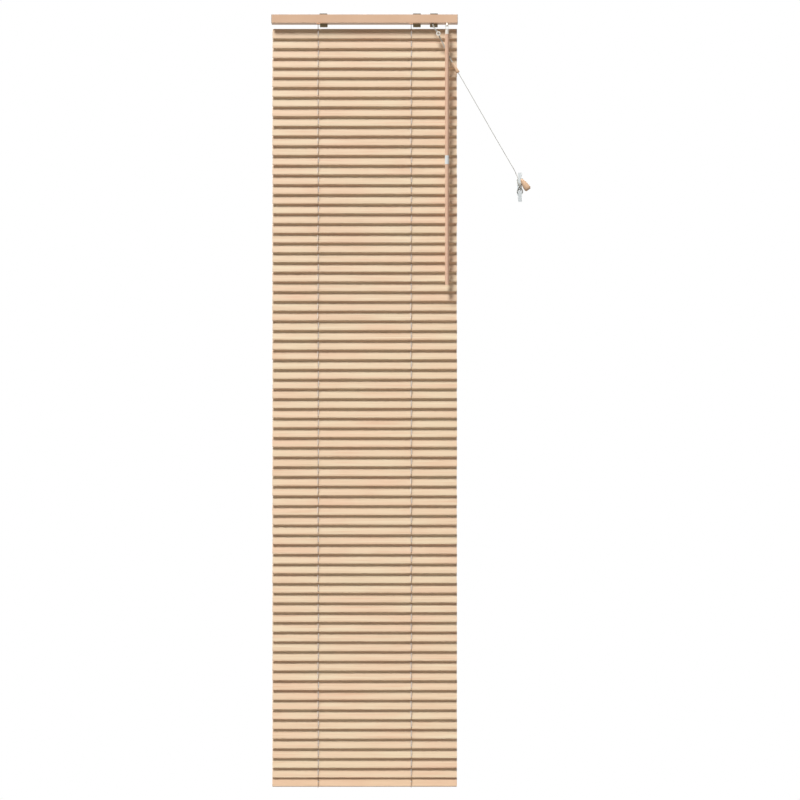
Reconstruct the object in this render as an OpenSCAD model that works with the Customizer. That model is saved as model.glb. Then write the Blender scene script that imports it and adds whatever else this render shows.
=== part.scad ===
/* [Headrail] */
// Length of the headrail
rail_l = 450; // [420:1:500]
// Depth of the headrail, front to back
rail_d = 30; // [30:1:34]
// Height of the headrail
rail_h = 19.7; // [19.7:0.1:22]
// Wall thickness of the headrail channel
rail_wall = 1; // [0.8:0.1:1.2]

/* [Slats] */
// Number of slats
slat_count = 77; // [77:1:77]
// Length of a slat
slat_l = 446; // [400:1:448]
// Width of a slat
slat_w = 25; // [22:0.5:25]
// Thickness of a slat
slat_t = 1.9; // [1.4:0.1:2]
// Distance between two slats
slat_pitch = 23.5; // [23.2:0.1:25]
// Angle of the closed slats, front edge low
slat_tilt = 75; // [60:1:75]
// Number of slats, counted from the bottom, that rise and turn one by one
free_slats = 12; // [12:1:12]

/* [Cords] */
// Distance of each ladder from the middle of the blind
ladder_x = 112.5; // [90:0.5:130]
// Diameter of the lift and pull cords
cord_d = 1.4; // [1:0.1:1.6]
// Diameter of the ladder strings
string_d = 1; // [0.8:0.1:1.2]

/* [Bottom rail] */
// Width of the bottom rail
bottom_w = 24; // [20:0.5:25]
// Thickness of the bottom rail
bottom_t = 5; // [4:0.5:5]

/* [Controls] */
// Distance of the wand from the middle of the blind
wand_x = 198.8; // [190:0.2:205]
// Diameter of the wand
wand_d = 9.8; // [8:0.1:9.8]
// Lean of the tilter's stem
stem_lean = 40; // [38:1:42]
// Distance of the cord lock from the middle of the blind
lock_x = 164; // [155:1:170]
// Distance of the wall cleat from the middle of the blind
cleat_x = 375.4; // [360:1:400]
// Depth of the wall cleat below the mounting plane
cleat_drop = 418; // [400:1:450]

/* [Hidden] */
$fn = 32;
rail_top = -2.6;
rail_bottom = rail_top - rail_h;
rail_front = -rail_d / 2;
wall_y = rail_d / 2 + 3;
first_slat_z = -46.6;
function slat_z(i) = first_slat_z - (i - 1) * slat_pitch;
last_fixed = slat_count - free_slats;
bottom_z = slat_z(slat_count) - 22.5;
string_y = 5.1;
string_gap = 0.4;
slot_l = 15;
slot_w = 2.2;
wood = "#e8cfb4";
cord_colour = "#eee6d8";
metal = "#b9bcc0";

bracket_x = [-99.2, 126.4, 167.4];
bracket_w = 18.5;
bracket_t = 2.6;
bracket_hole_r = 2.2;
bracket_hole_y = 6;
pin_y = 12;
pin_z = rail_bottom - 4.8;
pin_r = 1.2;
knuckle_w = 7;

rod_y = 5;
rod_z = -15.5;
rod_r = 2.5;
gear_r = 5;
worm_r = 3;
worm_gap = 0.4;
stem_r = 2.2;
stem_l = 28.4;
fit_gap = 0.05;
worm_reach = gear_r + worm_gap + worm_r;
worm_y = rod_y - worm_reach * cos(stem_lean);
worm_z = rod_z + worm_reach * sin(stem_lean);
tip_y = worm_y - stem_l * sin(stem_lean);
tip_z = worm_z - stem_l * cos(stem_lean);
ball_r = 2.6;
eye_at = 2.6;
eye_y = tip_y + eye_at * sin(stem_lean);
eye_z = tip_z + eye_at * cos(stem_lean);

wand_cap_z = -39.3;
wand_top_z = -51.3;
wand_mid_z = -343.3;
wand_low_z = -364.2;
wand_end_z = -654;

lock_y = -6;
roller_r = 3;
stop_at = [178, -17.4, -49];
twin_points = [[164, -11, -23], [165.5, -13.5, -29], [169.5, -16.4, -37], [175, -17.2, -45], [180, -15.4, -55],
    [187, -13.7, -68], [194, -13.7, -83], [201, -13.7, -97], [207, -15.4, -109], [211.9, -17.4, -119]];
twin_gap = 2.2;
joiner_top = [212, -17.4, -119.6];
joiner_l = 27.5;
cord_lean = 30;
pull_points = [[226, -17.4, -144], [250, -16, -185], [280, -14, -237], [310, -11, -289], [340, -7, -340],
    [362, -3, -377], [367, 0, -388]];
tassel_top = [377.8, -12, -399.2];
tassel_l = 31.5;
tassel_lean = 34;
cleat_z = -cleat_drop;
post_w = 8;
post_h = 24;
cleat_hole_r = 2.1;
cleat_hole_z = 7;

// A box between two corners
module box(low, high) {
    translate(low) cube(high - low);
}

// A cylinder along X with its middle at a point
module x_cylinder(at, r, l) {
    translate(at) rotate([0, 90, 0]) cylinder(r = r, h = l, center = true);
}

// One ring of a cord's tube, square to the way from one point to the other
function ring(at, from, to, r, sides) =
    let (way = (to - from) / norm(to - from),
        side = cross(way, [0, 1, 0]) / norm(cross(way, [0, 1, 0])),
        up = cross(side, way))
    [for (k = [0:sides - 1]) at + r * cos(360 * k / sides) * side + r * sin(360 * k / sides) * up];

// A cord swept along its points
module tube(points, d, sides = 8) {
    last = len(points) - 1;
    rings = [for (i = [0:last])
        each ring(points[i], points[max(i - 1, 0)], points[min(i + 1, last)], d / 2, sides)];
    walls = [for (i = [0:last - 1], k = [0:sides - 1])
        [i * sides + k, i * sides + (k + 1) % sides, (i + 1) * sides + (k + 1) % sides, (i + 1) * sides + k]];
    start = [for (k = [sides - 1:-1:0]) k];
    end = [for (k = [0:sides - 1]) last * sides + k];
    polyhedron(points = rings, faces = concat([start], walls, [end]));
}

// A board's section with eased edges
function eased(half_w, half_t, ease) =
    [[-half_w, -half_t + ease], [-half_w + ease, -half_t],
        [half_w - ease, -half_t], [half_w, -half_t + ease],
        [half_w, half_t - ease], [half_w - ease, half_t],
        [-half_w + ease, half_t], [-half_w, half_t - ease]];

// A slat with its two cord slots
module slat(i) {
    color(wood)
        translate([0, 0, slat_z(i)]) rotate([slat_tilt, 0, 0])
            difference() {
                rotate([90, 0, 90]) linear_extrude(slat_l, center = true)
                    polygon(eased(slat_w / 2, slat_t / 2, 0.5));
                for (x = [-ladder_x, ladder_x])
                    translate([x, 0, 0]) cube([slot_w, slot_l, 2 * slat_t], center = true);
            }
}

// The four strings that join a slat to the one above it
module ladder_link(i) {
    color(cord_colour)
        for (x = [-ladder_x, ladder_x], y = [-string_y, string_y])
            translate([x, y, slat_z(i) + string_gap])
                cylinder(d = string_d, h = slat_pitch - 2 * string_gap, $fn = 16);
}

module headrail() {
    lip = 4;
    ladder_opening = [8, 16, 6];
    lock_opening = [12, 10, 6];
    color(wood)
        difference() {
            box([-rail_l / 2 + 1, rail_front, rail_bottom], [rail_l / 2 - 1, -rail_front, rail_top]);
            box([-rail_l, rail_front + rail_wall, rail_bottom + rail_wall],
                [rail_l, -rail_front - rail_wall, rail_top - rail_wall]);
            box([-rail_l, rail_front + lip, rail_top - 2], [rail_l, -rail_front - lip, rail_top + 1]);
            for (x = [-ladder_x, ladder_x])
                translate([x, 0, rail_bottom]) cube(ladder_opening, center = true);
            translate([lock_x, -8, rail_bottom]) cube(lock_opening, center = true);
            translate([wand_x, worm_y, worm_z]) rotate([-stem_lean, 0, 0])
                translate([0, 0, -60]) cylinder(r = stem_r + 1.4, h = 60);
        }
}

// A cap that closes one end of the headrail
module end_cap(side) {
    skin = 1;
    plug = 5;
    inset = rail_wall + 0.2;
    color("#a9a39a") {
        translate([side * (rail_l / 2 - skin / 2), 0, (rail_top + rail_bottom) / 2])
            cube([skin, rail_d, rail_h], center = true);
        translate([side * (rail_l / 2 - skin - plug / 2), 0, (rail_top + rail_bottom) / 2])
            cube([plug, rail_d - 2 * inset, rail_h - 2 * inset - 2], center = true);
    }
}

module end_cap_left() {
    end_cap(-1);
}

module end_cap_right() {
    end_cap(1);
}

// Top plate with its screw holes, back plate, lower arm, knuckle and pin
module bracket(x) {
    half = bracket_w / 2;
    arm_front = 9;
    translate([x, 0, 0]) {
        difference() {
            box([-half, -14, rail_top], [half, wall_y, 0]);
            for (y = [-bracket_hole_y, bracket_hole_y])
                translate([0, y, -5]) cylinder(r = bracket_hole_r, h = 10);
        }
        box([-half, rail_d / 2, rail_bottom - bracket_t], [half, wall_y, rail_top]);
        box([-half, arm_front, rail_bottom - bracket_t], [half, rail_d / 2, rail_bottom]);
        x_cylinder([0, pin_y, pin_z], 2, knuckle_w);
        box([-knuckle_w / 2, pin_y - 2, pin_z], [knuckle_w / 2, pin_y + 2, rail_bottom - bracket_t]);
        x_cylinder([0, pin_y, pin_z], pin_r, bracket_w);
    }
}

module mounting_brackets() {
    color("#8f8c84")
        for (x = bracket_x)
            bracket(x);
}

// The lever that swings down to free the headrail
module latch(x) {
    half = bracket_w / 2;
    ear_in = knuckle_w / 2 + 0.3;
    ear_r = 1.95;
    color("#6f7264")
        translate([x, 0, 0])
            difference() {
                union() {
                    box([-half, 3, pin_z - ear_r], [half, 8.5, rail_bottom - 0.5]);
                    for (s = [-1, 1]) {
                        x_cylinder([s * (half + ear_in) / 2, pin_y, pin_z], ear_r, half - ear_in);
                        translate([s * (half + ear_in) / 2, pin_y - 2, pin_z])
                            cube([half - ear_in, 4, 2 * ear_r], center = true);
                    }
                }
                x_cylinder([0, pin_y, pin_z], pin_r + fit_gap, bracket_w + 2);
            }
}

module latch_left() {
    latch(bracket_x[0]);
}

module latch_middle() {
    latch(bracket_x[1]);
}

module latch_right() {
    latch(bracket_x[2]);
}

// Supports under the tilt rod, one each side of each drum
module drum_cradles() {
    width = 2.4;
    foot = rail_bottom + rail_wall;
    color("#ded9cf")
        for (x = [-ladder_x, ladder_x], s = [-1, 1])
            translate([x + s * 10, 0, 0])
                difference() {
                    box([-width / 2, rod_y - 6, foot], [width / 2, rod_y + 6, rod_z + 6]);
                    x_cylinder([0, rod_y, rod_z], rod_r + fit_gap, 10);
                }
}

// Housing that carries the tilt rod and the leaning worm
module tilter_housing() {
    foot = rail_bottom + rail_wall;
    front = rail_front + rail_wall + 0.2;
    back = rail_d / 2 - rail_wall - 0.4;
    color("#ded9cf")
        difference() {
            union() {
                for (s = [-1, 1])
                    translate([wand_x + s * 6.5, 0, 0])
                        box([-1.5, front, foot], [1.5, back, rail_top - 3]);
                box([wand_x - 8, front, foot], [wand_x + 8, front + 9, foot + 5]);
            }
            x_cylinder([wand_x, rod_y, rod_z], rod_r + fit_gap, 30);
            translate([wand_x, worm_y, worm_z]) rotate([-stem_lean, 0, 0])
                translate([0, 0, -40]) cylinder(r = stem_r + fit_gap, h = 40);
            translate([wand_x, worm_y, worm_z]) rotate([-stem_lean, 0, 0])
                translate([0, 0, -8]) cylinder(r = worm_r + 0.4, h = 16);
        }
}

module cord_lock_housing() {
    foot = rail_bottom + rail_wall;
    color("#ded9cf")
        difference() {
            box([lock_x - 9, -13, foot], [lock_x + 9, -1, foot + 15]);
            box([lock_x - 6, -12, foot - 1], [lock_x + 6, -2, foot + 16]);
            x_cylinder([lock_x, lock_y - 1.5, foot + 8], 1 + fit_gap, 30);
        }
}

module cord_lock_roller() {
    foot = rail_bottom + rail_wall;
    color(metal) {
        x_cylinder([lock_x, lock_y - 1.5, foot + 8], roller_r, 11);
        x_cylinder([lock_x, lock_y - 1.5, foot + 8], 1, 17.5);
    }
}

module tilt_rod() {
    color(metal)
        x_cylinder([0, rod_y, rod_z], rod_r, rail_l - 16);
}

// A spool that the ladder strings hang from
module tilt_drums() {
    color("#f2eee6")
        for (x = [-ladder_x, ladder_x])
            difference() {
                union() {
                    x_cylinder([x, rod_y, rod_z], 4.2, 16);
                    for (s = [-1, 1])
                        x_cylinder([x + s * 7.5, rod_y, rod_z], 5.4, 1);
                }
                x_cylinder([x, rod_y, rod_z], rod_r, 20);
            }
}

module worm_gear() {
    teeth = 12;
    color("#f2eee6")
        difference() {
            x_cylinder([wand_x, rod_y, rod_z], gear_r, 6);
            x_cylinder([wand_x, rod_y, rod_z], rod_r, 10);
            for (k = [0:teeth - 1])
                translate([wand_x, rod_y, rod_z]) rotate([360 * k / teeth, 0, 0])
                    translate([0, 0, gear_r]) cube([8, 0.8, 1.2], center = true);
        }
}

// Worm, stem and the ball that the wand hangs from
module worm_stem() {
    color("#f4f1ea")
        translate([wand_x, worm_y, worm_z]) rotate([-stem_lean, 0, 0])
            union() {
                translate([0, 0, -6]) cylinder(r = worm_r - 0.7, h = 12);
                for (k = [0:4])
                    translate([0, 0, -5.4 + k * 2.4]) cylinder(r = worm_r, h = 1.2);
                translate([0, 0, -stem_l + 1]) cylinder(r = stem_r, h = stem_l - 1);
                translate([0, 0, eye_at - stem_l]) sphere(r = ball_r);
            }
}

// Two cheeks with bosses that hold the stem's ball, and the cap on the wand's top
module wand_hook() {
    cheek_in = ball_r + 0.15;
    cheek_out = cheek_in + 0.9;
    boss = 0.5;
    color("#f4f1ea") {
        for (side = [-1, 1]) {
            x_cylinder([wand_x + side * (cheek_out + boss / 2), eye_y, eye_z], 1.6, boss);
            translate([wand_x + side * (cheek_in + cheek_out) / 2, 0, 0])
                box([-0.45, eye_y - 2.4, wand_cap_z - 2], [0.45, eye_y + 1.6, eye_z + 1.8]);
        }
        translate([wand_x, tip_y, wand_top_z + 0.2])
            cylinder(d1 = wand_d - 0.6, d2 = wand_d - 2, h = wand_cap_z - wand_top_z - 0.2);
    }
}

module wand_rod(top, low) {
    color(wood)
        translate([wand_x, tip_y, low]) cylinder(d = wand_d, h = top - low);
}

module wand_upper() {
    wand_rod(wand_top_z, wand_mid_z);
}

module wand_coupler() {
    color("#f4f1ea")
        translate([wand_x, tip_y, wand_low_z]) cylinder(d = wand_d + 0.3, h = wand_mid_z - wand_low_z);
}

module wand_lower() {
    wand_rod(wand_low_z, wand_end_z);
}

module upper_slats_a() {
    for (i = [1:32])
        slat(i);
}

module upper_slats_b() {
    for (i = [33:last_fixed - 1])
        slat(i);
}

// Long strings of the two ladders, on one side of the slats
module long_strings(y) {
    top = rail_bottom - 0.3;
    color(cord_colour)
        for (x = [-ladder_x, ladder_x])
            translate([x, y, slat_z(last_fixed) + string_gap])
                cylinder(d = string_d, h = top - slat_z(last_fixed) - string_gap, $fn = 16);
}

module ladder_back() {
    long_strings(string_y);
}

module ladder_front() {
    long_strings(-string_y);
}

module lift_cords() {
    low = bottom_z + 24.9;
    color(cord_colour)
        for (x = [-ladder_x, ladder_x])
            translate([x, 0, low]) cylinder(d = cord_d, h = rail_bottom - 2 - low, $fn = 16);
}

// Places the bottom rail's own frame
module at_bottom() {
    translate([0, 0, bottom_z]) rotate([slat_tilt, 0, 0]) children();
}

module bottom_rail() {
    half_t = bottom_t / 2;
    color(wood)
        at_bottom()
            difference() {
                rotate([90, 0, 90]) linear_extrude(slat_l - 2, center = true)
                    polygon(eased(bottom_w / 2, half_t, 1.2));
                for (x = [-ladder_x, ladder_x]) {
                    translate([x, 0, -10]) cylinder(r = 1.5, h = 20);
                    translate([x, 0, -half_t - 1]) cylinder(r = 4.5, h = 2.6);
                }
            }
}

module rail_end_caps() {
    color(wood)
        for (s = [-1, 1])
            at_bottom()
                translate([s * (slat_l / 2 - 0.5), 0, 0]) cube([1, bottom_w - 2, bottom_t - 1], center = true);
}

// Buttons that cover the cord holes under the bottom rail
module rail_plugs() {
    color("#efe3d2")
        for (x = [-ladder_x, ladder_x])
            at_bottom()
                translate([x, 0, -bottom_t / 2 - 1])
                    difference() {
                        cylinder(r = 6.5, h = 1);
                        translate([0, 0, -1]) cylinder(r = 1.5, h = 3);
                    }
}

// The ends of the lift cords, into the bottom rail's holes, and of the ladder strings, round its edges
module cord_knots() {
    tail = [[0, 0, 24.5], [0, -0.1, 18], [0, -0.6, 12.5], [0, -1.7, 8], [0, -2.9, 4], [0, -3.6, 2],
        [0, -3, 0.9]];
    front = [[0, -string_y, 22.1], [0, -5.9, 12], [0, -6.5, -2], [0, -6.8, -9.5], [0, -6.4, -11.8],
        [0, -4.8, -13], [0, -2, -13.5], [0, 0, -12.6], [0, 1.1, -8.8]];
    back = [[0, string_y, 22.1], [0, 5.9, 15.5], [0, 6.5, 11.5], [0, 6.2, 9.5], [0, 5.6, 7.8]];
    color(cord_colour)
        for (x = [-ladder_x, ladder_x])
            translate([x, 0, bottom_z]) {
                tube(tail, cord_d);
                tube(front, string_d);
                tube(back, string_d);
            }
}

// Base on the wall, post and two horns
module cleat() {
    base_h = 36;
    horn_h = 70;
    horn_w = 9;
    color("#f1f0ec")
        translate([cleat_x, 0, cleat_z])
            difference() {
                union() {
                    box([-5.5, wall_y - 3, -base_h / 2], [5.5, wall_y, base_h / 2]);
                    box([-post_w / 2, 0, -post_h / 2], [post_w / 2, wall_y - 3, post_h / 2]);
                    rotate([90, 0, 90]) linear_extrude(horn_w, center = true)
                        polygon([[0, -post_h / 2], [-1.5, -horn_h / 2], [-4, -horn_h / 2], [-5, -14],
                            [-5, 14], [-4, horn_h / 2], [-1.5, horn_h / 2], [0, post_h / 2]]);
                }
                for (z = [-cleat_hole_z, cleat_hole_z])
                    translate([0, -20, z]) rotate([-90, 0, 0]) cylinder(r = cleat_hole_r, h = 60);
            }
}

// Ring that stops the twin cords at the cord lock
module cord_stop() {
    color("#f4f1ea")
        translate(stop_at) rotate([90, 0, 0])
            difference() {
                cylinder(r = 5.4, h = 3.2, center = true);
                cylinder(r = 2.9, h = 5, center = true);
            }
}

// Two cords side by side from the cord lock to the joiner
module twin_cords() {
    color(cord_colour)
        for (s = [-1, 1])
            tube([for (i = [0:len(twin_points) - 1])
                twin_points[i] + [s * twin_gap / 2 * (1 - 0.4 * i / (len(twin_points) - 1)), 0, 0]], cord_d);
}

// A turned wooden bead with the cords through it
module turned(at, lean, profile) {
    color("#d9b78f")
        translate(at) rotate([0, 180 - lean, 0])
            rotate_extrude() polygon(profile);
}

module cord_joiner() {
    turned(joiner_top, cord_lean,
        [[0, 0], [2, 0], [2.9, 3], [3.3, 12], [4.4, 22], [4.5, 25], [3.6, joiner_l], [0, joiner_l]]);
}

module pull_cord() {
    color(cord_colour)
        tube(pull_points, cord_d);
}

// The figure of eight turns round the cleat's post
module cord_winding() {
    inside = 0.3;
    wide = 6.6;
    tall = 15.5;
    color("#cfcdbd")
        translate([cleat_x, 10.5, cleat_z]) rotate([90, 0, 0]) linear_extrude(8)
            difference() {
                union() {
                    for (z = [-tall + wide, tall - wide])
                        translate([0, z]) circle(r = wide);
                    square([2 * wide, 2 * (tall - wide)], center = true);
                }
                square([post_w + 2 * inside, post_h + 2 * inside], center = true);
            }
}

module tassel() {
    turned(tassel_top, tassel_lean,
        [[0, 0], [2.4, 0], [4, 4], [5.6, 9], [7.6, 18], [8.4, 25], [8, 28.5], [6, tassel_l], [0, tassel_l]]);
}

headrail();
end_cap_left();
end_cap_right();
mounting_brackets();
latch_left();
latch_middle();
latch_right();
drum_cradles();
tilter_housing();
cord_lock_housing();
cord_lock_roller();
tilt_rod();
tilt_drums();
worm_gear();
worm_stem();
wand_hook();
wand_upper();
wand_coupler();
wand_lower();
upper_slats_a();
upper_slats_b();
slat(65);  // slat_65
ladder_back();
ladder_front();
lift_cords();
bottom_rail();
rail_end_caps();
rail_plugs();
cord_knots();
cleat();
cord_stop();
twin_cords();
cord_joiner();
pull_cord();
cord_winding();
tassel();
ladder_link(66);  // ladder_link_66
ladder_link(67);  // ladder_link_67
ladder_link(68);  // ladder_link_68
ladder_link(69);  // ladder_link_69
ladder_link(70);  // ladder_link_70
ladder_link(71);  // ladder_link_71
ladder_link(72);  // ladder_link_72
ladder_link(73);  // ladder_link_73
ladder_link(74);  // ladder_link_74
ladder_link(75);  // ladder_link_75
ladder_link(76);  // ladder_link_76
ladder_link(77);  // ladder_link_77
slat(66);  // slat_66
slat(67);  // slat_67
slat(68);  // slat_68
slat(69);  // slat_69
slat(70);  // slat_70
slat(71);  // slat_71
slat(72);  // slat_72
slat(73);  // slat_73
slat(74);  // slat_74
slat(75);  // slat_75
slat(76);  // slat_76
slat(77);  // slat_77
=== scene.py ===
import math
import random

import bpy
from mathutils import Matrix, Vector


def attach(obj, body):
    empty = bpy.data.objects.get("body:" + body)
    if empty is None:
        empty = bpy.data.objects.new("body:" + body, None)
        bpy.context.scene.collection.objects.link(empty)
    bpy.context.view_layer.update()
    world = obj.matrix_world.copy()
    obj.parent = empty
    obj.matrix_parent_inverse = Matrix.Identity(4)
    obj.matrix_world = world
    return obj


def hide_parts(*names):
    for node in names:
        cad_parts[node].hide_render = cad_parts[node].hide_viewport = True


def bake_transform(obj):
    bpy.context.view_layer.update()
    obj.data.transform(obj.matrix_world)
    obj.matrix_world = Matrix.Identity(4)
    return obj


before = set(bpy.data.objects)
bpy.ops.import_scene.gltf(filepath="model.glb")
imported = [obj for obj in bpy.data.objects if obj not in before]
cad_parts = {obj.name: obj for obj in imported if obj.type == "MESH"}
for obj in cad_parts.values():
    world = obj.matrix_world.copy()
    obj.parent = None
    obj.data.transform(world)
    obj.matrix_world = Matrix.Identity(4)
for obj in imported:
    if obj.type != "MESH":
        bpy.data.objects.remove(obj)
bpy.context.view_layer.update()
MM = 0.001

# Sizes of the blind, in millimetres, as the solids have them
SLATS = 77
LAST_FIXED = 65
SLAT_L, SLAT_W, SLAT_T = 446, 25, 1.9
SLAT_ROUND, SLAT_EASE, END_TAPER = 0.7, 0.5, 0.35
LEAN_DRIFT, SIDE_DRIFT = 0.5, 0.35  # degrees and millimetres, so that no two slats hang alike
LAST_IN_A = 32  # upper_slats_a holds slats 1 to this one
PITCH, FIRST_Z = 23.5, -46.6
TILT = 75
LADDER_X, STRING_Y = 112.5, 5.1
STRING_D, STRING_GAP = 1, 0.4
RUNG_D, RUNG_SHIFT, RUNG_CLEAR = 0.7, 3, 0.45
LEAST_RADIUS = 0.05
SLOT_L, SLOT_W = 15, 2.2
BOTTOM_Z = FIRST_Z - (SLATS - 1) * PITCH - 22.5
LIFT_TOP, LIFT_LOW = -24.3, BOTTOM_Z + 24.9
CORD_D = 1.4
RAIL_CORD = [(0, 24.5), (-0.1, 18), (-0.6, 12.5), (-1.7, 8), (-2.9, 4), (-3.6, 2), (-3, 0.9)]
RAIL_FRONT = [
    (-5.1, 22.1), (-5.9, 12), (-6.5, -2), (-6.8, -9.5), (-6.4, -11.8),
    (-4.8, -13), (-2, -13.5), (0, -12.6), (1.1, -8.8),
]
RAIL_BACK = [(5.1, 22.1), (5.9, 15.5), (6.5, 11.5), (6.2, 9.5), (5.6, 7.8)]
RAIL_ENDS = (("cord", RAIL_CORD, CORD_D), ("front", RAIL_FRONT, STRING_D), ("back", RAIL_BACK, STRING_D))
CLEAT = Vector((375.4, 0, -418))
TWIN_ROUTE = [
    (164, -11, -23), (165.5, -13.5, -29), (169.5, -16.4, -37), (175, -17.2, -45),
    (180, -15.4, -55), (187, -13.7, -68), (194, -13.7, -83), (201, -13.7, -97),
    (207, -15.4, -109), (211.9, -17.4, -119),
]
TWIN_GAP, TWIN_CLOSING, TWIN_STEPS = 2.2, 0.4, 8
PULL_ROUTE = [
    (226, -17.4, -144), (250, -16, -185), (280, -14, -237), (310, -11, -289),
    (340, -7, -340), (362, -3, -377), (367, 0, -388),
]
JOINER_TOP, JOINER_LEAN = (212, -17.4, -119.6), 30
TASSEL_TOP, TASSEL_LEAN = (377.8, -12, -399.2), 34


def slat_z(i):
    return FIRST_Z - (i - 1) * PITCH


# ---------------------------------------------------------------- camera

VIEW_X, VIEW_Z = 85.5, -932.2
VIEW_DISTANCE = 5200
PIXEL_MM, VIEW_PIXELS = 2.418, 800
SENSOR = 36

camera = bpy.data.objects.new("camera", bpy.data.cameras.new("camera"))
bpy.context.scene.collection.objects.link(camera)
camera.location = (VIEW_X * MM, -VIEW_DISTANCE * MM, VIEW_Z * MM)
camera.rotation_euler = (math.radians(90), 0, 0)
camera.data.sensor_width = SENSOR
camera.data.lens = VIEW_DISTANCE / PIXEL_MM * SENSOR / VIEW_PIXELS
camera.data.clip_end = 60
bpy.context.scene.camera = camera


# ---------------------------------------------------------------- materials


class Nodes:
    """A material's node tree with short calls to add and join nodes."""

    def __init__(self, name):
        self.material = bpy.data.materials.new(name)
        self.material.use_nodes = True
        self.tree = self.material.node_tree
        self.shader = self.tree.nodes["Principled BSDF"]
        self.coords = self.tree.nodes.new("ShaderNodeTexCoord")

    def add(self, kind, **values):
        node = self.tree.nodes.new("ShaderNode" + kind)
        for key, value in values.items():
            if key in node.inputs:
                node.inputs[key].default_value = value
            else:
                setattr(node, key, value)
        return node

    def join(self, out, into):
        self.tree.links.new(out, into)

    def stretched(self, scale, source="Object"):
        mapping = self.add("Mapping", Scale=scale)
        self.join(self.coords.outputs[source], mapping.inputs["Vector"])
        return mapping.outputs["Vector"]

    def noise(self, vector, scale, detail=4.0, rough=0.55):
        node = self.add("TexNoise", Scale=scale, Detail=detail, Roughness=rough)
        self.join(vector, node.inputs["Vector"])
        return node.outputs["Fac"]

    def ramp(self, value, stops):
        node = self.add("ValToRGB")
        elements = node.color_ramp.elements
        while len(elements) < len(stops):
            elements.new(0.5)
        for element, (place, colour) in zip(elements, stops):
            element.position = place
            element.color = (*colour, 1)
        self.join(value, node.inputs["Fac"])
        return node.outputs["Color"]

    def mix(self, share, a, b, blend_type="MIX"):
        node = self.add("Mix", data_type="RGBA", blend_type=blend_type)
        if isinstance(share, float):
            node.inputs[0].default_value = share
        else:
            self.join(share, node.inputs[0])
        self.join(a, node.inputs[6])
        self.join(b, node.inputs[7])
        return node.outputs[2]

    def scaled(self, value, low, high, start=0.3, stop=0.7):
        node = self.add("MapRange")
        for key, number in (("From Min", start), ("From Max", stop), ("To Min", low), ("To Max", high)):
            node.inputs[key].default_value = number
        self.join(value, node.inputs["Value"])
        return node.outputs["Result"]

    def bump(self, height, strength, distance):
        node = self.add("Bump", Strength=strength, Distance=distance)
        self.join(height, node.inputs["Height"])
        self.join(node.outputs["Normal"], self.shader.inputs["Normal"])

    def constants(self, **values):
        for key, value in values.items():
            self.shader.inputs[key.replace("_", " ")].default_value = value


def linear(colour):
    """Linear values of an sRGB colour given from 0 to 255."""
    return tuple(
        c / 255 / 12.92 if c / 255 <= 0.04045 else ((c / 255 + 0.055) / 1.055) ** 2.4 for c in colour
    )


def wood(name, dark, middle, light, tint, source="UV", along=(1, 1, 1), rough=0.42):
    """Fine straight grain, broad bands and a slow drift of tint from piece to piece."""
    m = Nodes(name)
    streaks = m.noise(m.stretched((7 * along[0], 420 * along[1], 420 * along[2]), source), 1.0, 6.0, 0.65)
    bands = m.noise(m.stretched((2.6 * along[0], 190 * along[1], 190 * along[2]), source), 1.0, 3.0)
    drift = m.noise(m.stretched((0.8, 1.0, 1.0), source), 7.0, 2.0)
    grain = m.ramp(streaks, [(0.32, linear(dark)), (0.5, linear(middle)), (0.68, linear(light))])
    broad = m.ramp(bands, [(0.32, linear(tint)), (0.5, linear(middle)), (0.66, linear(light))])
    tinted = m.ramp(drift, [(0.35, linear(tint)), (0.65, linear(light))])
    colour = m.mix(0.45, grain, broad)
    colour = m.mix(0.35, colour, tinted)
    m.join(colour, m.shader.inputs["Base Color"])
    m.join(m.scaled(streaks, rough - 0.06, rough + 0.1), m.shader.inputs["Roughness"])
    m.bump(streaks, 0.25, 0.0002)
    m.constants(Coat_Weight=0.12, Coat_Roughness=0.35)
    return m.material


def solid_finish(name, low, high, rough, grain=900.0, depth=0.12, metallic=0.0, coat=0.0, stretch=(1, 1, 1)):
    """A moulded or painted surface: slight colour drift, fine texture and uneven gloss."""
    m = Nodes(name)
    fine = m.noise(m.stretched(stretch), grain, 3.0)
    slow = m.noise(m.stretched((1, 1, 1)), 14.0, 3.0)
    m.join(m.ramp(slow, [(0.3, linear(low)), (0.7, linear(high))]), m.shader.inputs["Base Color"])
    m.join(m.scaled(fine, rough - 0.05, rough + 0.08), m.shader.inputs["Roughness"])
    m.bump(fine, depth, 0.0001)
    m.constants(Metallic=metallic, Coat_Weight=coat, Coat_Roughness=0.2)
    return m.material


def braid(name, low, high, source="UV", turns=(2300, 160)):
    """Braided cord: crossing slanted strands in colour and bump."""
    m = Nodes(name)
    heights = []
    for lean in (1, -1):
        mapping = m.add("Mapping", Scale=(turns[0], turns[1], turns[1]), Rotation=(0, 0, lean * 0.6))
        m.join(m.coords.outputs[source], mapping.inputs["Vector"])
        wave = m.add("TexWave", Scale=0.35, Distortion=0.4)
        m.join(mapping.outputs["Vector"], wave.inputs["Vector"])
        heights.append(wave.outputs["Fac"])
    both = m.add("Math", operation="MULTIPLY")
    m.join(heights[0], both.inputs[0])
    m.join(heights[1], both.inputs[1])
    m.join(m.ramp(both.outputs[0], [(0.0, linear(low)), (0.8, linear(high))]), m.shader.inputs["Base Color"])
    m.bump(both.outputs[0], 0.4, 0.0002)
    m.constants(Roughness=0.8, Sheen_Weight=0.3)
    return m.material


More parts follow.
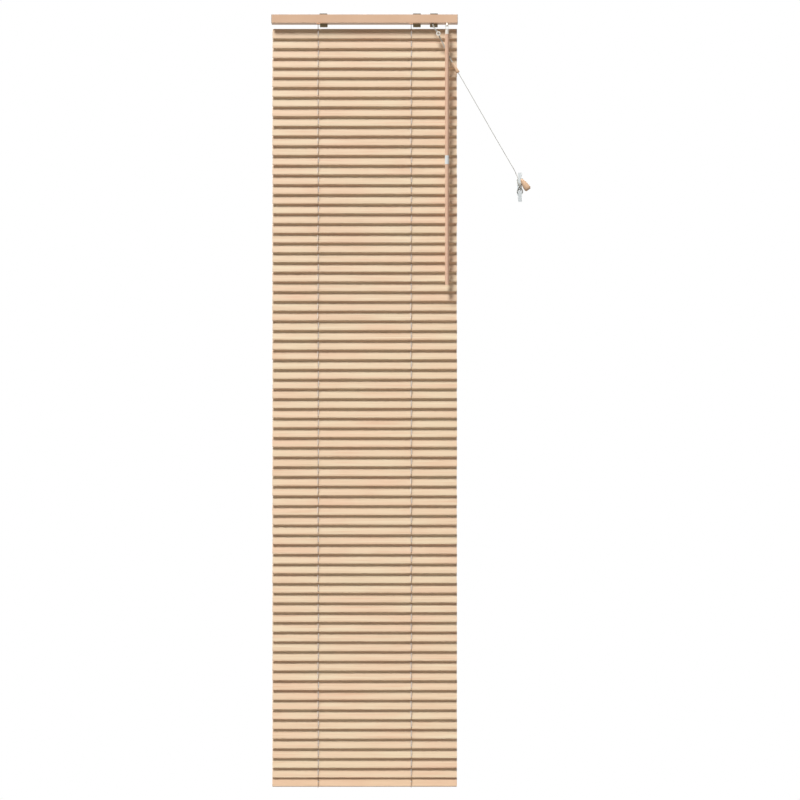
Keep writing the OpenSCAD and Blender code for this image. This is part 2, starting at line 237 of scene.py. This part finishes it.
SLAT_WOOD = wood("slat_wood", (196, 154, 118), (223, 200, 171), (234, 220, 191), (232, 194, 168))
RAIL_WOOD = wood(
    "bottom_rail_wood", (200, 164, 130), (222, 192, 161), (232, 206, 174), (226, 188, 162), "Object"
)
WAND_WOOD = wood(
    "wand_wood", (206, 166, 140), (228, 190, 164), (238, 204, 180), (230, 188, 166), "Object", (40, 1, 0.012)
)
TURNED_WOOD = wood(
    "turned_wood", (196, 158, 126), (220, 186, 154), (234, 206, 178), (218, 182, 152), "Object", (8, 1, 0.1)
)
HEADRAIL_PAINT = solid_finish(
    "headrail_paint", (232, 196, 167), (239, 204, 175), 0.38, 1200.0, 0.08, coat=0.2
)
END_GREY = solid_finish("end_cap_grey", (176, 168, 156), (190, 182, 170), 0.5)
BRACKET_GREY = solid_finish("bracket_grey", (128, 120, 108), (142, 133, 120), 0.45)
LATCH_OLIVE = solid_finish("latch_olive", (140, 132, 104), (156, 147, 118), 0.5)
WHITE_PLASTIC = solid_finish("white_plastic", (240, 238, 232), (247, 245, 240), 0.3, 700.0, 0.06, coat=0.3)
CLEAR_PLASTIC = solid_finish("cleat_plastic", (226, 236, 242), (236, 245, 250), 0.25, 700.0, 0.06, coat=0.4)
CREAM_PLASTIC = solid_finish("cream_plastic", (226, 220, 208), (235, 230, 219), 0.45)
STEEL = solid_finish(
    "zinc_steel", (168, 170, 174), (190, 192, 196), 0.32, 1500.0, 0.1, 1.0, stretch=(0.05, 1, 1)
)
# Painted shadow: these colours are darker than the strings' own cream, so the strings, rungs and lift cords
# drawn with them stand in for the brown shadow lines they cast on the lit slats.
STRING = braid("ladder_string", (150, 122, 96), (184, 154, 126), "Object", (900, 900))
CORD = braid("pull_cord_braid", (172, 174, 168), (214, 216, 210))


# ---------------------------------------------------------------- mesh helpers


def new_piece(name, points, faces, material, uvs=None, smooth=True):
    """A mesh piece from points in millimetres in the row frame."""
    mesh = bpy.data.meshes.new(name)
    mesh.from_pydata([tuple(Vector(p) * MM) for p in points], [], faces)
    mesh.validate()
    if uvs:
        layer = mesh.uv_layers.new(name="grain")
        for loop in mesh.loops:
            layer.data[loop.index].uv = uvs[loop.vertex_index]
    mesh.materials.append(material)
    mesh.shade_smooth() if smooth else mesh.shade_flat()
    piece = bpy.data.objects.new(name, mesh)
    bpy.context.scene.collection.objects.link(piece)
    return piece


def catmull(points, steps):
    """A smooth line through given points."""
    p = [Vector(q) for q in points]
    p = [2 * p[0] - p[1], *p, 2 * p[-1] - p[-2]]
    line = []
    for a, b, c, d in zip(p, p[1:], p[2:], p[3:]):
        for k in range(steps):
            t = k / steps
            square = (2 * a - 5 * b + 4 * c - d) * t * t
            cube = (3 * b - a - 3 * c + d) * t**3
            line.append(0.5 * (2 * b + (c - a) * t + square + cube))
    line.append(p[-2])
    return line


def tube(name, line, diameter, material, sides=10):
    """A cord swept along a line, with its length and girth as UVs."""
    points, uvs, faces = [], [], []
    way = (line[1] - line[0]).normalized()
    side = way.orthogonal().normalized()
    far = 0
    for i, at in enumerate(line):
        ahead = (line[min(i + 1, len(line) - 1)] - line[max(i - 1, 0)]).normalized()
        side = (side - ahead * side.dot(ahead)).normalized()
        up = ahead.cross(side)
        far += (at - line[i - 1]).length if i else 0
        for k in range(sides):
            turn = 2 * math.pi * k / sides
            points.append(at + diameter / 2 * (math.cos(turn) * side + math.sin(turn) * up))
            uvs.append((far * MM, k / sides * math.pi * diameter * MM))
    for i in range(len(line) - 1):
        for k in range(sides):
            a, b = i * sides + k, i * sides + (k + 1) % sides
            faces.append((a, b, b + sides, a + sides))
    faces.append(tuple(reversed(range(sides))))
    faces.append(tuple(range(len(points) - sides, len(points))))
    return new_piece(name, points, faces, material, uvs)


def soften(nodes, width, segments=2):
    """Eases the edges of CAD nodes."""
    for name in nodes:
        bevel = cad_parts[name].modifiers.new("eased_edges", "BEVEL")
        bevel.width = width * MM
        bevel.segments = segments
        bevel.limit_method = "ANGLE"
        bevel.angle_limit = math.radians(40)
        bevel.harden_normals = False


def dress(nodes, material):
    for name in nodes:
        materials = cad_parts[name].data.materials
        if not len(materials):
            materials.append(material)
        for k in range(len(materials)):
            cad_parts[name].material_slots[k].material = material


# ---------------------------------------------------------------- free cords


def make_twin_cords():
    """The two pull cords from the cord lock to the wooden joiner."""
    made = []
    for side, name in ((-1, "twin_cord_left"), (1, "twin_cord_right")):
        last = len(TWIN_ROUTE) - 1
        route = [
            Vector(p) + Vector((side * TWIN_GAP / 2 * (1 - TWIN_CLOSING * i / last), 0, 0))
            for i, p in enumerate(TWIN_ROUTE)
        ]
        line = catmull(route, TWIN_STEPS)
        cord = tube(name, line, CORD_D, CORD)
        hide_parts("twin_cords")
        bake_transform(cord)
        made.append((cord, line))
    return made


def cleat_turns(turns):
    """Figure of eight round the cleat's horns, each turn beside the last."""
    line = []
    steps = 48
    for k in range(turns * steps + steps // 8):
        t = 2 * math.pi * k / steps + 0.35
        turn = k / steps
        wide = 6.0 + 0.25 * turn
        tall = 15.0 + 1.5 * turn
        x = wide * math.sin(2 * t)
        y = -2.2 - (4.6 + 0.35 * turn) * math.cos(2 * t)
        z = tall * math.sin(t) + 0.9 * turn
        line.append(CLEAT + Vector((x, y, z)))
    return line


def make_pull_cord():
    """One cord from the joiner to the cleat, round its horns and to the tassel."""
    turns = cleat_turns(4)
    tail = [
        turns[-1], CLEAT + Vector((6, -9.5, 18)), Vector(TASSEL_TOP) + Vector((-0.9, 0.4, 1.8)),
        Vector(TASSEL_TOP) + Vector((1.6, 0, -3.0)),
    ]
    line = catmull([*PULL_ROUTE, turns[0]], 14)[:-1] + turns[:-1] + catmull(tail, 8)
    cord = tube("pull_cord_line", line, CORD_D, CORD)
    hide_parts("pull_cord", "cord_winding")
    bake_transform(cord)
    return cord, line


def turned(name, top, lean, profile, material, replaced, body, sides=40):
    """A turned bead on a leaning axis; the profile is (radius, distance from the top)."""
    outline = [Vector((r, d, 0)) for r, d in profile]
    smooth = catmull(outline, 5)
    place = Matrix.Translation(Vector(top)) @ Matrix.Rotation(math.radians(180 - lean), 4, "Y")
    points, faces = [], []
    for p in smooth:
        for k in range(sides):
            turn = 2 * math.pi * k / sides
            radius = max(p.x, LEAST_RADIUS)
            points.append(place @ Vector((radius * math.cos(turn), radius * math.sin(turn), p.y)))
    for i in range(len(smooth) - 1):
        for k in range(sides):
            a, b = i * sides + k, i * sides + (k + 1) % sides
            faces.append((a, a + sides, b + sides, b))
    faces.append(tuple(range(sides)))
    faces.append(tuple(reversed(range(len(points) - sides, len(points)))))
    piece = new_piece(name, points, faces, material)
    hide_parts(replaced)
    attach(piece, body)
    return piece


twins = make_twin_cords()
pull, pull_line = make_pull_cord()
joiner = turned(
    "wooden_joiner", JOINER_TOP, JOINER_LEAN,
    [
        (1.2, 0), (2.0, 0.4), (2.6, 2.6), (3.1, 10), (3.9, 19), (4.4, 24), (4.3, 26.4), (3.6, 27.4),
        (1.2, 27.4),
    ],
    TURNED_WOOD, "cord_joiner", "joiner",
)
tassel = turned(
    "wooden_tassel", TASSEL_TOP, TASSEL_LEAN,
    [
        (1.2, 0), (2.3, 0.4), (3.9, 3.8), (5.5, 8.8), (6.9, 14.5), (7.9, 20.5), (8.3, 25.6), (7.8, 28.9),
        (5.9, 31.3), (1.2, 31.4),
    ],
    TURNED_WOOD, "tassel", "frame",
)


# ---------------------------------------------------------------- slats


def slat_section(width, thick, round_r):
    """The section's outline as (across, height), with a point where each slot edge falls."""
    half_w, half_t, steps = width / 2, thick / 2, 3
    outline = []
    for cy, cz, first in (
        (-half_w + round_r, half_t - round_r, 180), (half_w - round_r, half_t - round_r, 90),
        (half_w - round_r, -half_t + round_r, 0), (-half_w + round_r, -half_t + round_r, -90),
    ):
        for k in range(steps + 1):
            turn = math.radians(first - 90 * k / steps)
            outline.append((cy + round_r * math.cos(turn), cz + round_r * math.sin(turn)))
        if first == 180:
            outline += [(-SLOT_L / 2, half_t), (SLOT_L / 2, half_t)]
        if first == 0:
            outline += [(SLOT_L / 2, -half_t), (-SLOT_L / 2, -half_t)]
    return outline


def slat_piece(i, chance):
    """One wooden slat with eased edges and its two cord slots."""
    outline = slat_section(SLAT_W, SLAT_T, SLAT_ROUND)
    count = len(outline)
    half = SLAT_L / 2
    slot_edges = [s * LADDER_X + e * SLOT_W / 2 for s in (-1, 1) for e in (-1, 1)]
    stations = [-half, -half + SLAT_EASE, *slot_edges, half - SLAT_EASE, half]
    upper = (outline.index((-SLOT_L / 2, SLAT_T / 2)), outline.index((SLOT_L / 2, SLAT_T / 2)))
    lower = (outline.index((SLOT_L / 2, -SLAT_T / 2)), outline.index((-SLOT_L / 2, -SLAT_T / 2)))
    lean = math.radians(TILT + chance.uniform(-LEAN_DRIFT, LEAN_DRIFT))
    drift = chance.uniform(-SIDE_DRIFT, SIDE_DRIFT)
    points, uvs, faces = [], [], []
    for n, x in enumerate(stations):
        shrink = 1 - END_TAPER / (SLAT_W / 2) if n in (0, len(stations) - 1) else 1
        for y, z in outline:
            y, z = y * shrink, z * shrink
            points.append((
                x + drift, y * math.cos(lean) - z * math.sin(lean),
                slat_z(i) + y * math.sin(lean) + z * math.cos(lean),
            ))
            uvs.append((x * MM + 1.37 * i, (y + (SLAT_W if z < 0 else 0)) * MM + 0.61 * i))
    for n in range(len(stations) - 1):
        slotted = n in (2, 4)
        for k in range(count):
            if slotted and k in (upper[0], lower[0]):
                continue
            a, b = n * count + k, n * count + (k + 1) % count
            faces.append((a, b, b + count, a + count))
        if slotted:
            a, b = n * count, (n + 1) * count
            faces.append((a + upper[0], a + lower[1], b + lower[1], b + upper[0]))
            faces.append((a + upper[1], b + upper[1], b + lower[0], a + lower[0]))
            faces.append((a + upper[0], a + upper[1], a + lower[0], a + lower[1]))
            faces.append((b + upper[0], b + lower[1], b + lower[0], b + upper[1]))
    faces.append(tuple(range(count))[::-1])
    faces.append(tuple(range(len(points) - count, len(points))))
    piece = new_piece(f"wood_slat_{i:02d}", points, faces, SLAT_WOOD, uvs, smooth=True)
    piece.data.set_sharp_from_angle(angle=math.radians(50))
    return piece


def make_slats():
    chance = random.Random(5)
    for i in range(1, SLATS + 1):
        piece = slat_piece(i, chance)
        if i <= LAST_FIXED:
            node = "upper_slats_a" if i <= LAST_IN_A else "upper_slats_b" if i < LAST_FIXED else "slat_65"
            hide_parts(node)
            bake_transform(piece)
        else:
            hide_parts(f"slat_{i}")
            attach(piece, f"slat_{i}")


def rung_points(i, x):
    """The line of a rung that lies against the face of slat i, from one edge to the other."""
    lean = math.radians(TILT)
    across = Vector((0, math.cos(lean), math.sin(lean)))
    out = Vector((0, math.sin(lean), -math.cos(lean)))
    middle = Vector((x, 0, slat_z(i)))
    gap = SLAT_T / 2 + RUNG_CLEAR
    return [middle + across * y + out * gap for y in (-12.6, -8, 0, 8, 12.6)]


def make_rungs():
    for i in range(LAST_FIXED + 1, SLATS + 1):
        for side, x in (("left", -LADDER_X - RUNG_SHIFT), ("right", LADDER_X + RUNG_SHIFT)):
            rung = tube(f"rung_{i}_{side}", rung_points(i, x), RUNG_D, STRING, 6)
            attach(rung, f"slat_{i}")


def make_ladder_ends():
    """The ladder strings along the lowest slats, straight as the slats hang at rest."""
    top, low = slat_z(LAST_FIXED) - STRING_GAP, slat_z(SLATS) + STRING_GAP
    steps = 2 * (SLATS - LAST_FIXED)
    for side, x in (("left", -LADDER_X), ("right", LADDER_X)):
        for face, y in (("front", -STRING_Y), ("back", STRING_Y)):
            line = [Vector((x, y, top + (low - top) * k / steps)) for k in range(steps + 1)]
            string = tube(f"ladder_end_{side}_{face}", line, STRING_D, STRING, 8)
            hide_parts(*(f"ladder_link_{i}" for i in range(LAST_FIXED + 1, SLATS + 1)))
            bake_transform(string)


def make_rail_ends():
    """The ends of the lift cord and the ladder strings, bent onto the bottom rail as it rests."""
    for side, x in (("left", -LADDER_X), ("right", LADDER_X)):
        for kind, route, width in RAIL_ENDS:
            line = catmull([Vector((x, y, BOTTOM_Z + z)) for y, z in route], 4)
            end = tube(f"rail_end_{kind}_{side}", line, width, STRING, 8)
            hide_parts("cord_knots")
            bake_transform(end)


def make_lift_cords():
    """A cord through the slots at each ladder, from the headrail down to the bottom rail."""
    for side, x in (("left", -LADDER_X), ("right", LADDER_X)):
        line = [Vector((x, 0, LIFT_TOP + (LIFT_LOW - LIFT_TOP) * k / SLATS)) for k in range(SLATS + 1)]
        cord = tube(f"lift_cord_{side}", line, CORD_D, STRING)
        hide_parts("lift_cords")
        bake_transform(cord)


make_slats()
make_rungs()
make_ladder_ends()
make_rail_ends()
make_lift_cords()

# ---------------------------------------------------------------- CAD nodes

dress(["headrail"], HEADRAIL_PAINT)
dress(["end_cap_left", "end_cap_right"], END_GREY)
dress(["mounting_brackets"], BRACKET_GREY)
dress(["latch_left", "latch_middle", "latch_right"], LATCH_OLIVE)
dress(["drum_cradles", "tilter_housing", "cord_lock_housing"], CREAM_PLASTIC)
dress(["tilt_drums", "worm_gear", "worm_stem", "wand_hook", "cord_stop"], WHITE_PLASTIC)
dress(["wand_coupler", "cleat"], CLEAR_PLASTIC)
dress(["rail_plugs"], CREAM_PLASTIC)
dress(["tilt_rod", "cord_lock_roller"], STEEL)
dress(["wand_upper", "wand_lower"], WAND_WOOD)
dress(["bottom_rail", "rail_end_caps"], RAIL_WOOD)
dress(["ladder_back", "ladder_front"], STRING)
soften(["headrail", "end_cap_left", "end_cap_right", "mounting_brackets", "wand_coupler", "rail_plugs"], 0.4)
soften(["latch_left", "latch_middle", "latch_right", "wand_upper", "wand_lower", "bottom_rail"], 0.5)
soften(["cleat", "cord_stop"], 1.0, 3)

# ---------------------------------------------------------------- stage and light

FLOOR_Z, FLOOR_REACH = BOTTOM_Z - 260, 20000
FILL, FILL_TINT = 0.13, (1.0, 0.72, 0.52)
KEY, KEY_FROM, KEY_SPREAD = 4.35, (-0.3, -0.5, 1.0), 18
BACK, BACK_FROM, BACK_SPREAD = 1.6, (0.5, 1.0, 0.35), 40


def make_floor():
    m = Nodes("floor_pale")
    m.constants(Base_Color=(0.3, 0.3, 0.3, 1), Roughness=0.95)
    seen = m.add("LightPath").outputs["Is Camera Ray"]
    white = m.add("Emission", Strength=1.0)
    both = m.add("MixShader")
    m.join(seen, both.inputs[0])
    m.join(m.shader.outputs[0], both.inputs[1])
    m.join(white.outputs[0], both.inputs[2])
    m.join(both.outputs[0], m.tree.nodes["Material Output"].inputs["Surface"])
    far = FLOOR_REACH
    floor = new_piece(
        "floor", [(-far, -far, FLOOR_Z), (far, -far, FLOOR_Z), (far, far, FLOOR_Z), (-far, far, FLOOR_Z)],
        [(0, 1, 2, 3)], m.material,
    )


def make_light():
    world = bpy.data.worlds.new("studio")
    bpy.context.scene.world = world
    world.use_nodes = True
    tree = world.node_tree
    background = tree.nodes["Background"]
    level = tree.nodes.new("ShaderNodeMapRange")
    level.inputs["To Min"].default_value = FILL
    level.inputs["To Max"].default_value = 1.0
    tint = tree.nodes.new("ShaderNodeMix")
    tint.data_type = "RGBA"
    tint.inputs[6].default_value = (*FILL_TINT, 1)
    tint.inputs[7].default_value = (1, 1, 1, 1)
    seen = tree.nodes.new("ShaderNodeLightPath").outputs["Is Camera Ray"]
    tree.links.new(seen, level.inputs["Value"])
    tree.links.new(seen, tint.inputs[0])
    tree.links.new(tint.outputs[2], background.inputs["Color"])
    tree.links.new(level.outputs["Result"], background.inputs["Strength"])
    key = bpy.data.lights.new("key", "SUN")
    key.energy = KEY
    key.angle = math.radians(KEY_SPREAD)
    key.color = (1.0, 0.985, 0.96)
    lamp = bpy.data.objects.new("key", key)
    bpy.context.scene.collection.objects.link(lamp)
    lamp.rotation_euler = Vector(KEY_FROM).to_track_quat("Z", "Y").to_euler()
    back = bpy.data.lights.new("back", "SUN")
    back.energy = BACK
    back.angle = math.radians(BACK_SPREAD)
    lamp = bpy.data.objects.new("back", back)
    bpy.context.scene.collection.objects.link(lamp)
    lamp.rotation_euler = Vector(BACK_FROM).to_track_quat("Z", "Y").to_euler()


make_floor()
make_light()
bpy.context.scene.view_settings.view_transform = "Standard"

bpy.context.view_layer.update()
